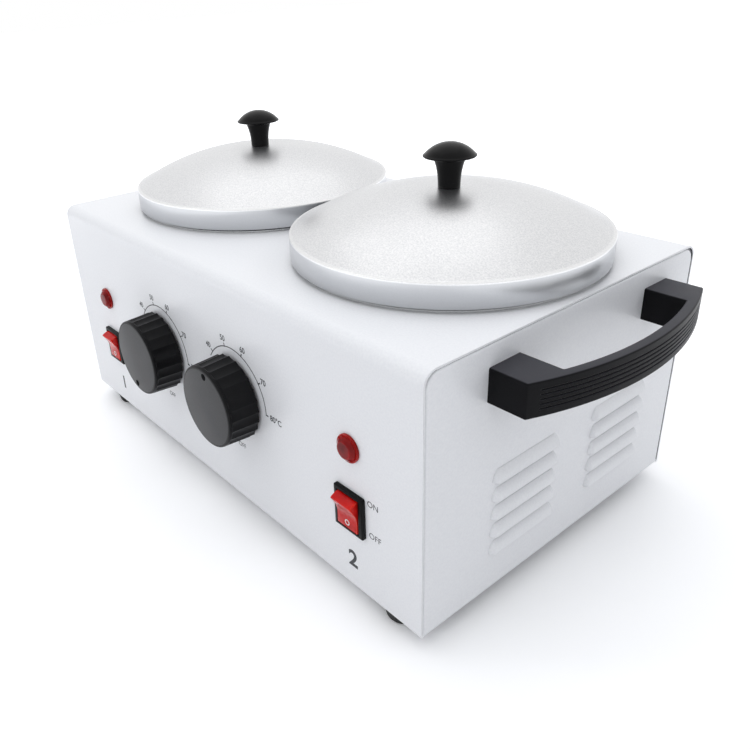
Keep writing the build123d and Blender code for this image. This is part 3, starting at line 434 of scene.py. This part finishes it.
# Heights count outward: the wall's from the panel, the end cap's and the dot's from the knob's face
DIAL_FOOT, DIAL_FACE, DIAL_RING = 1.5, 20.3, 20.0
POINTER_R = 19.9
DIAL_WALL = [(24.6, DIAL_FOOT), (25.0, 1.9), (24.75, 6.0), (24.5, 10.0),
             (24.3, 14.0), (24.1, 18.0), (24.0, 18.8), (23.8, DIAL_FACE)]
END_CAP_PROFILE = [(AXIS_R, -0.3), (22.4, -0.3), (22.6, -0.1), (22.5, 0.08), (22.2, 0.14), (AXIS_R, 0.14)]
DOT_PROFILE = [(AXIS_R, -0.3), (2.0, -0.3), (2.05, 0.16), (1.8, 0.28), (AXIS_R, 0.32)]


def flute_sector(profile):
    """One flute of the temperature knob, from the axis out: a broad scallop that runs out in the collar."""
    verts, faces = [], []
    for r, h in profile:
        fade = min(1.0, max(0.0, (COLLAR_FROM - h) / COLLAR_RUN)) if r > GROOVED_FROM else 0.0
        for k in range(FLUTE_STEPS + 1):
            t = 2 * math.pi / FLUTES * k / FLUTE_STEPS
            cut_r = r - fade * FLUTE_DEPTH * abs(math.sin(FLUTES / 2 * t)) ** FLUTE_FORM
            verts.append((cut_r * math.cos(t), -h, cut_r * math.sin(t)))
    row = FLUTE_STEPS + 1
    for i in range(len(profile) - 1):
        for j in range(FLUTE_STEPS):
            a = i * row + j
            faces.append((a, a + 1, a + 1 + row, a + row))
    return verts, faces


def ring_tree():
    """Repeats a piece round an axis along Y, welds the copies and gives them a finish."""
    tree = bpy.data.node_groups.new("repeat_round_axis", "GeometryNodeTree")
    face = tree.interface
    face.new_socket("Geometry", in_out="INPUT", socket_type="NodeSocketGeometry")
    for name, kind in (("Count", "NodeSocketInt"), ("Weld Distance", "NodeSocketFloat"),
                       ("Finish", "NodeSocketMaterial")):
        face.new_socket(name, in_out="INPUT", socket_type=kind)
    face.new_socket("Geometry", in_out="OUTPUT", socket_type="NodeSocketGeometry")
    given = node(tree, "NodeGroupInput").outputs
    step = node(tree, "ShaderNodeMath", {1: given["Count"]}, {0: 2 * math.pi}, operation="DIVIDE")
    index = node(tree, "GeometryNodeInputIndex")
    angle = node(tree, "ShaderNodeMath", {0: index.outputs[0], 1: step.outputs[0]}, operation="MULTIPLY")
    turn = node(tree, "ShaderNodeCombineXYZ", {"Y": angle.outputs[0]})
    spots = node(tree, "GeometryNodePoints", {"Count": given["Count"]})
    copies = node(tree, "GeometryNodeInstanceOnPoints",
                  {"Points": spots.outputs[0], "Instance": given["Geometry"], "Rotation": turn.outputs[0]})
    whole = node(tree, "GeometryNodeRealizeInstances", {"Geometry": copies.outputs[0]})
    welded = node(tree, "GeometryNodeMergeByDistance",
                  {"Geometry": whole.outputs[0], "Distance": given["Weld Distance"]})
    finished = node(tree, "GeometryNodeSetMaterial",
                    {"Geometry": welded.outputs[0], "Material": given["Finish"]})
    node(tree, "NodeGroupOutput", {"Geometry": finished.outputs[0]})
    return tree


REPEAT_ROUND = ring_tree()
WELD_MM = 0.002


def repeated_round(name, verts, faces, centre, count, mat, smooth_angle):
    """A closed mesh made by repeating one sector round an axis along Y through a point in millimetres."""
    mesh = bpy.data.meshes.new(name + "_sector")
    mesh.from_pydata([Vector(v) * MM for v in verts], [], faces)
    sector = add_object(name + "_sector", mesh)
    ring = sector.modifiers.new("ring", "NODES")
    ring.node_group = REPEAT_ROUND
    sockets = REPEAT_ROUND.interface.items_tree
    given = {item.name: item.identifier for item in sockets if item.in_out == "INPUT"}
    ring[given["Count"]] = count
    ring[given["Weld Distance"]] = WELD_MM * MM
    ring[given["Finish"]] = mat
    graph = bpy.context.evaluated_depsgraph_get()
    whole = bpy.data.meshes.new_from_object(sector.evaluated_get(graph))
    sector.modifiers.remove(ring)
    bpy.data.objects.remove(sector)
    whole.name = name
    whole.transform(Matrix.Translation(Vector(centre) * MM))
    face_outward(whole)
    made = add_object(name, whole)
    soften(whole, smooth_angle)
    return made


DIAL_PROFILE = [
    (0.0, DIAL_FOOT),
    *rounded([(DIAL_RING, DIAL_FOOT)] + DIAL_WALL + [(DIAL_RING, DIAL_FACE)],
             [0, 0.2, 0.2, 0, 0, 0, 0, 0.2, 0.8, 0], steps=5),
    (0.0, DIAL_FACE)]
# The same line with three more points on each long stretch, so that the flutes fade evenly
DENSE_PROFILE = []
for (r0, h0), (r1, h1) in zip(DIAL_PROFILE, DIAL_PROFILE[1:]):
    DENSE_PROFILE.append((r0, h0))
    if abs(h1 - h0) > 1.0:
        DENSE_PROFILE += [(r0 + (r1 - r0) * k / 4, h0 + (h1 - h0) * k / 4) for k in (1, 2, 3)]
DENSE_PROFILE.append(DIAL_PROFILE[-1])
face_y = FRONT_Y - DIAL_FACE
for side, cx in DIAL_X.items():
    dial = repeated_round(f"{side}_dial_skin", *flute_sector(DENSE_PROFILE), (cx, FRONT_Y, DIAL_Z),
                          FLUTES, DIAL_BLACK, smooth_angle=28)
    place_piece(dial, f"{side}_dial", [f"{side}_dial_knob"])
    rings = spun_rings(END_CAP_PROFILE, (cx, face_y, DIAL_Z), END_CAP_TURNS, "y")
    end_cap = mesh_object(f"{side}_dial_end_cap", *loft(rings), DIAL_CAP)
    place_piece(end_cap, f"{side}_dial")
    a = math.radians(POINTER[side])
    dot_at = (cx + POINTER_R * math.sin(a), face_y, DIAL_Z + POINTER_R * math.cos(a))
    rings = spun_rings(DOT_PROFILE, dot_at, DOT_TURNS, "y")
    dot = mesh_object(f"{side}_dial_pointer_dot", *loft(rings), DOT_BLACK)
    place_piece(dot, f"{side}_dial")


# The gap between wrapper and end panel: a thin bead of painted shadow along its groove, wider over the top
# and in the corners
SHEET, INNER_BEND, BEND_STEPS = 1.0, 6.0, 8
GAP_WIDE, GAP_NARROW = 0.5, 0.2
# How far below the top it is full and thin, how far above the foot it ends, and how deep its edges lie
GAP_FULL_TO, GAP_THIN_FROM, GAP_FOOT = 12, 35, 2
GAP_DEPTHS = (0.15, 0.5, 0.9)


def gap_path():
    """The wrapper's inner outline from the front's foot to the back's: y, z, inward normal, width."""
    front, back, top = FRONT_Y + SHEET, BACK_Y - SHEET, TOP_Z - SHEET
    rise = ((BASE_Z + GAP_FOOT, GAP_NARROW), (top - GAP_THIN_FROM, GAP_NARROW), (top - GAP_FULL_TO, GAP_WIDE))
    path = [(front, z, 1, 0, wide) for z, wide in rise]
    for cy, first, last in ((front + INNER_BEND, 180, 90), (back - INNER_BEND, 90, 0)):
        for k in range(BEND_STEPS + 1):
            a = math.radians(first + (last - first) * k / BEND_STEPS)
            y, z = cy + INNER_BEND * math.cos(a), top - INNER_BEND + INNER_BEND * math.sin(a)
            path.append((y, z, -math.cos(a), -math.sin(a), GAP_WIDE))
    return path + [(back, z, -1, 0, wide) for z, wide in rise[::-1]]


for side, s in SIDES:
    near, middle, far = (s * (END_X - depth) for depth in GAP_DEPTHS)
    rings = [[(near, y, z), (middle, y + ny * wide, z + nz * wide), (far, y, z)]
             for y, z, ny, nz, wide in gap_path()]
    bead = mesh_object(f"{side}_end_gap_shade", *loft(rings), GAP_SHADE, smooth_angle=60)
    place_piece(bead, "casing")


# Rockers: a dished face between two raised ends. Each swings on a pivot just in front of the panel
ROCKER_TILT, ROCKER_HALF, PIVOT_OUT = math.radians(14), 7.3, 1.0
ROCKER_BEVEL, BEVEL_SCALE = 0.3, 0.96
SWING_R, END_UP, DISH_UP, KEEL = 9.7, 4.1, 1.8, 4.0
END_OUT, KEEL_OUT = math.sqrt(SWING_R ** 2 - END_UP ** 2), math.sqrt(SWING_R ** 2 - KEEL ** 2)
DISH_SLOPE = math.atan((END_UP - DISH_UP) / END_OUT)


def rocker_point(cx, across, up, out):
    """A point given along the rocker and out of it, for the switch at rest."""
    return (cx + across, FRONT_Y - PIVOT_OUT - up * math.sin(ROCKER_TILT) - out * math.cos(ROCKER_TILT),
            SWITCH_Z + up * math.cos(ROCKER_TILT) - out * math.sin(ROCKER_TILT))


# The rocker seen from its side: a flat keel, an arc at each end and the dished face between the two crests
END_STEPS, CREST_R, DISH_R = 7, 0.5, 12
ARC_ANGLES = [math.asin(-KEEL / SWING_R) * (1 - k / END_STEPS) + math.asin(END_UP / SWING_R) * k / END_STEPS
              for k in range(1, END_STEPS)]
END_ARC = [(SWING_R * math.cos(q), SWING_R * math.sin(q)) for q in ARC_ANGLES]
UNBENT = [0] * len(END_ARC)
ROCKER_OUTLINE = rounded(
    [(0, -KEEL), (KEEL_OUT, -KEEL)] + END_ARC + [(END_OUT, END_UP), (0, DISH_UP), (-END_OUT, END_UP)]
    + [(-x, y) for x, y in END_ARC[::-1]] + [(-KEEL_OUT, -KEEL), (0, -KEEL)],
    [0, CREST_R, *UNBENT, CREST_R, DISH_R, CREST_R, *UNBENT, CREST_R, 0], steps=8)[:-1]
# Cuts across the rocker: where, and at what size, a touch smaller at its two sides
ROCKER_CUTS = ((-ROCKER_HALF, BEVEL_SCALE), (ROCKER_BEVEL - ROCKER_HALF, 1.0),
               (ROCKER_HALF - ROCKER_BEVEL, 1.0), (ROCKER_HALF, BEVEL_SCALE))
for side, s in SIDES:
    rings = [[rocker_point(s * SWITCH_X, across, up * size, out * size) for up, out in ROCKER_OUTLINE]
             for across, size in ROCKER_CUTS]
    rocker = mesh_object(f"{side}_rocker_skin", *loft(rings), ROCKER_RED, smooth_angle=30)
    place_piece(rocker, f"{side}_rocker", [f"{side}_rocker"])

# A lip round each rocker's opening: half width, half height and distance from the front, from inside out
LIP_SECTION = ((7.75, 10.2, -1.8), (7.75, 10.2, -2.35), (8.0, 10.45, -2.5),
               (9.3, 11.1, -2.5), (9.9, 11.6, -2.2), (9.9, 11.6, -1.8))
CORNERS = ((-1, -1), (1, -1), (1, 1), (-1, 1))
for side, s in SIDES:
    rings = [[(s * SWITCH_X + half_wide * x, FRONT_Y + y, SWITCH_Z + half_high * z) for x, z in CORNERS]
             for half_wide, half_high, y in LIP_SECTION]
    lip = mesh_object(f"{side}_switch_lip", *loft(rings, joined=True), BEZEL_BLACK)
    place_piece(lip, "casing")

# Pilot lenses: a low flange, a groove inside it, a steep bevelled band and a flat middle
LENS_PROFILE = rounded(
    [(AXIS_R, 0.0), (7.5, 0.0), (7.5, 1.3), (6.75, 1.3), (6.4, 0.7), (6.1, 2.1), (4.4, 3.7), (AXIS_R, 3.8)],
    [0, 0.2, 0.3, 0.15, 0.1, 0.3, 0.4, 0])
for side, s in SIDES:
    rings = spun_rings(LENS_PROFILE, (s * PILOT_X, FRONT_Y, PILOT_Z), LENS_TURNS, "y")
    lens = mesh_object(f"{side}_pilot_lens_skin", *loft(rings), LENS_RED, smooth_angle=30)
    place_piece(lens, "casing", [f"{side}_pilot_lens"])


# The finish of each material slot
FINISH = {
    "powder_coat": POWDER, "zinc_steel": STEEL, "screw_steel": STEEL, "foot_rubber": RUBBER,
    "handle_plastic": HANDLE_BLACK, "well_aluminium": SPUN, "pot_aluminium": SPUN,
    "lid_aluminium": ALUMINIUM, "lid_knob_plastic": GLOSS_BLACK, "heater_steel": DARK_STEEL,
    "bakelite": BAKELITE, "shaft_steel": STEEL, "dial_plastic": DIAL_BLACK, "copper": COPPER,
    "switch_plastic": BEZEL_BLACK, "rocker_plastic": ROCKER_RED, "lens_plastic": LENS_RED,
    "brass": BRASS, "gland_nylon": BEZEL_BLACK, "block_nylon": NYLON, "wire_insulation": SLEEVING,
}
node_slot = {row["node"]: row["material_slot"] for row in frame["record"]["subparts"]}
node_body = {n: body for body, names in frame["record"]["behaviour"]["bodies"].items() for n in names}


# Edges of a CAD node's skin that turn by more than this many degrees stay crisp
CRISP_FROM = 32


def skin_of(name):
    """A copy of one CAD node's mesh with welded vertices, crisp edges and its finish."""
    source = frame["nodes"][name]
    mesh = source.data.copy()
    mesh.name = f"{name}_skin"
    face_outward(mesh, weld=True)
    mesh.materials.clear()
    mesh.materials.append(FINISH[node_slot[name]])
    for attribute in [a for a in mesh.attributes if a.name == "custom_normal"]:
        mesh.attributes.remove(attribute)
    made = add_object(f"{name}_skin", mesh)
    soften(mesh, CRISP_FROM)
    return place_piece(made, node_body[name], [name])


# Nodes whose CAD form is right: the outer ones are copied and welded so that curved faces shade smoothly
OUTER = ("casing_wrapper", "base_plate", "gland_body", "gland_cap")
OUTER_PAIRS = ("end_panel", "handle", "front_foot", "rear_foot", "well", "pot", "switch_housing")
for name in OUTER + tuple(f"{side}_{part}" for side, _ in SIDES for part in OUTER_PAIRS):
    skin_of(name)
for name, cad in frame["nodes"].items():
    if not cad.hide_render:
        cad.data.materials.clear()
        cad.data.materials.append(FINISH[node_slot[name]])


# Print: characters lie this far out and are this thick each way, lines stand out and start just inside
CHARACTER_LIFT, LINE_LIFT, LINE_SINK = 0.02, 0.04, 0.01
# Where the moulded mark sits along the rocker's slope
MARK_OUT = 5.6


def on_front(x, z):
    """The place of a printed mark on the front panel."""
    at = Vector((x, FRONT_Y - CHARACTER_LIFT, z)) * MM
    return Matrix.Translation(at) @ Matrix.Rotation(math.pi / 2, 4, "X")


def on_rocker(cx, half):
    """The place of a moulded mark on the rocker's upper (1) or lower (-1) slope."""
    turn = math.pi / 2 + ROCKER_TILT + half * DISH_SLOPE
    at = rocker_point(cx, 0.0, half * MARK_OUT, DISH_UP + MARK_OUT * math.tan(DISH_SLOPE) + CHARACTER_LIFT)
    return Matrix.Translation(Vector(at) * MM) @ Matrix.Rotation(turn, 4, "X")


def mark(name, text, size_mm, place, mat=INK, body="casing", weight=0.0):
    """Printed characters lying flat at a place, their strokes widened by the weight in millimetres."""
    curve = bpy.data.curves.new(name, "FONT")
    curve.body = text
    curve.size = size_mm * MM
    curve.align_x = "CENTER"
    curve.align_y = "CENTER"
    curve.extrude = CHARACTER_LIFT * MM
    curve.offset = weight * MM
    temp = add_object(name + "_source", curve)
    bpy.context.view_layer.update()
    graph = bpy.context.evaluated_depsgraph_get()
    mesh = bpy.data.meshes.new_from_object(temp.evaluated_get(graph))
    bpy.data.objects.remove(temp)
    mesh.name = name
    mesh.transform(place)
    mesh.materials.clear()
    mesh.materials.append(mat)
    return place_piece(add_object(name, mesh), body)


def tick(name, centre, length, width, turn):
    """A short printed line on the front, turned clockwise from upright."""
    a = math.radians(turn)
    along, across = (math.sin(a), math.cos(a)), (math.cos(a), -math.sin(a))
    rings = []
    for y in (FRONT_Y + LINE_SINK, FRONT_Y - LINE_LIFT):
        rings.append([(centre[0] + along[0] * p * length / 2 + across[0] * q * width / 2, y,
                       centre[1] + along[1] * p * length / 2 + across[1] * q * width / 2)
                      for p, q in CORNERS])
    return place_piece(mesh_object(name, *loft(rings), INK), "casing")


def scale_arc(name, centre, radius, width, start, end, steps=64):
    """A printed arc on the front, from one clock angle to another."""
    inner, outer = radius - width / 2, radius + width / 2
    back, front = FRONT_Y + LINE_SINK, FRONT_Y - LINE_LIFT
    rings = []
    for k in range(steps + 1):
        a = math.radians(start + (end - start) * k / steps)
        rings.append([(centre[0] + r * math.sin(a), y, centre[1] + r * math.cos(a))
                      for r, y in ((inner, back), (outer, back), (outer, front), (inner, front))])
    return place_piece(mesh_object(name, *loft(rings), INK), "casing")


# The dials' scale: clock angle in degrees, number, and how far to the side of the axis its number stands
SCALE = ((-47, "40", 34.5), (-14, "50", 34.5), (19, "60", 34.5), (56, "70", 34.5), (92, "80", 37.5))
ARC_R, ARC_WIDTH, ARC_FROM, ARC_TO = 28.8, 0.6, -56, 93
TICK_R, TICK_LENGTH, TICK_WIDTH, NUMBER_UP = 29.6, 2.4, 0.8, 33.4
# Sizes of the print, heights of the dials' off marks and the pots' numbers, and the words beside a switch
NUMBER_SIZE, SMALL_SIZE, POT_NUMBER_SIZE = 4.9, 4.4, 14.0
DIAL_OFF_Z, POT_NUMBER_Z = 50.2, 27.6
POT_NUMBER = {"left": "1", "right": "2"}
SWITCH_WORDS = (("on", 15.9, 70.0), ("off", 17.0, 51.5))
for side, s in SIDES:
    cx, switch_x = DIAL_X[side], s * SWITCH_X
    scale_arc(f"{side}_scale_arc", (cx, DIAL_Z), ARC_R, ARC_WIDTH, ARC_FROM, ARC_TO)
    for degrees, text, reach in SCALE:
        a = math.radians(degrees)
        tick_at = (cx + TICK_R * math.sin(a), DIAL_Z + TICK_R * math.cos(a))
        tick(f"{side}_tick_{text}", tick_at, TICK_LENGTH, TICK_WIDTH, degrees)
        shown = text + "°C" if text == "80" else text
        number_at = on_front(cx + reach * math.sin(a), DIAL_Z + NUMBER_UP * math.cos(a))
        mark(f"{side}_number_{text}", shown, NUMBER_SIZE, number_at, weight=0.08)
    mark(f"{side}_off_mark", "OFF", SMALL_SIZE, on_front(cx, DIAL_OFF_Z))
    mark(f"{side}_pot_number", POT_NUMBER[side], POT_NUMBER_SIZE, on_front(switch_x, POT_NUMBER_Z),
         weight=0.35)
    for word, across, z in SWITCH_WORDS:
        mark(f"{side}_switch_{word}", word.upper(), NUMBER_SIZE, on_front(switch_x + across, z))
    mark(f"{side}_rocker_mark", "O", SMALL_SIZE, on_rocker(switch_x, -1), WHITE_INK, f"{side}_rocker",
         weight=0.1)

# Floor: a pale sheet, which the camera, reflections and clear parts see brighter
floor_mat, tree, shader, place = begin_material(
    "pale_floor", {"Roughness": 0.9, "Base Color": linear("F4F4F5")})
# Brighter further out, so that it runs into the white background, and less bright near the object: painted
# shade that keeps the soft shadow near the feet
away = node(tree, "ShaderNodeVectorMath", {0: place}, operation="LENGTH")
floor_gain_painted_shade = node(tree, "ShaderNodeMapRange", {"Value": away.outputs["Value"]},
            {"From Min": 0.3, "From Max": 1.1, "To Min": 1.2, "To Max": 1.7}, interpolation_type="SMOOTHSTEP")
bright = node(tree, "ShaderNodeBsdfDiffuse", {"Color": floor_gain_painted_shade.outputs[0]})
seen = node(tree, "ShaderNodeMixShader",
            {0: sees_background(tree), 1: shader.outputs[0], 2: bright.outputs[0]})
out = next(n for n in tree.nodes if n.type == "OUTPUT_MATERIAL")
tree.links.new(seen.outputs[0], out.inputs["Surface"])
FLOOR_HALF, FLOOR_THICK = 6000, 4
rings = [[(x * FLOOR_HALF, y * FLOOR_HALF, z) for x, y in CORNERS] for z in (-FLOOR_THICK, 0)]
floor = mesh_object("floor", *loft(rings), floor_mat)

# Camera at the photograph's place, in metres
CAMERA_AT = (0.3559, -0.2923, 0.2930)
CAMERA_LOOK, CAMERA_UP = (-0.69953, 0.55503, -0.45011), (-0.31954, 0.32045, 0.89174)
camera_data = bpy.data.cameras.new("camera")
camera = add_object("camera", camera_data)
look = Vector(CAMERA_LOOK).normalized()
right = look.cross(Vector(CAMERA_UP)).normalized()
up = right.cross(look)
camera.matrix_world = Matrix.Translation(CAMERA_AT) @ Matrix((right, up, -look)).transposed().to_4x4()
camera_data.sensor_width = 36
camera_data.lens = 36.11
camera_data.shift_x, camera_data.shift_y = 0.0583, -0.0289
camera_data.clip_start, camera_data.clip_end = 0.01, 20
bpy.context.scene.camera = camera


def soft_box(name, at, aim, size, watts, in_gloss=True):
    """A square lamp at a place in metres, aimed at a point, that reflections may or may not show."""
    data = bpy.data.lights.new(name, "AREA")
    data.shape = "RECTANGLE"
    data.size = data.size_y = size
    data.energy = watts
    made = add_object(name, data)
    made.location = at
    made.rotation_mode = "QUATERNION"
    made.rotation_quaternion = (Vector(aim) - Vector(at)).to_track_quat("-Z", "Y")
    made.visible_glossy = in_gloss


# One large box high over the front, which the gloss doesn't show, in an even pale room
soft_box("key", (0.25, -0.8, 2.2), (0, 0, 0.1), 2.2, 11, in_gloss=False)
# A box over the back left: a soft sheen from it lies on the near half of each dome
OVERHEAD_AT, OVERHEAD_AIM = (-0.55, 0.42, 1.75), (0, 0, 0.15)
soft_box("overhead", OVERHEAD_AT, OVERHEAD_AIM, 1.5, 2.1)
# Fill from the same place, which the gloss doesn't show
soft_box("fill", OVERHEAD_AT, OVERHEAD_AIM, 1.5, 4.2, in_gloss=False)
# A small box that puts the glints on knobs, lenses and flutes
soft_box("glint", (-0.9, -1.1, 1.7), (0, 0, 0.12), 0.3, 1.3)

# The room: bright overhead and behind the object, dim behind the camera, white where the camera sees it
BRIGHT_TOWARD = (-0.62, 0.49, 0.61)
world = bpy.data.worlds.new("room")
bpy.context.scene.world = world
world.use_nodes = True
tree = world.node_tree
tree.nodes.clear()
out = node(tree, "ShaderNodeOutputWorld")
toward = node(tree, "ShaderNodeVectorMath", {0: node(tree, "ShaderNodeTexCoord").outputs["Generated"]},
              {1: BRIGHT_TOWARD}, operation="DOT_PRODUCT")
level = node(tree, "ShaderNodeMapRange", {"Value": toward.outputs["Value"]},
             {"From Min": -0.6, "From Max": 0.75, "To Min": 0.5, "To Max": 0.88},
             interpolation_type="SMOOTHSTEP")
room = node(tree, "ShaderNodeBackground", {"Strength": level.outputs[0]}, {"Color": linear("F6F8FC")})
seen = node(tree, "ShaderNodeBackground", values={"Color": (1, 1, 1, 1), "Strength": 1.0})
pick = node(tree, "ShaderNodeMixShader", {0: sees_background(tree), 1: room.outputs[0], 2: seen.outputs[0]})
tree.links.new(pick.outputs[0], out.inputs["Surface"])

bpy.context.scene.view_settings.view_transform = "Standard"
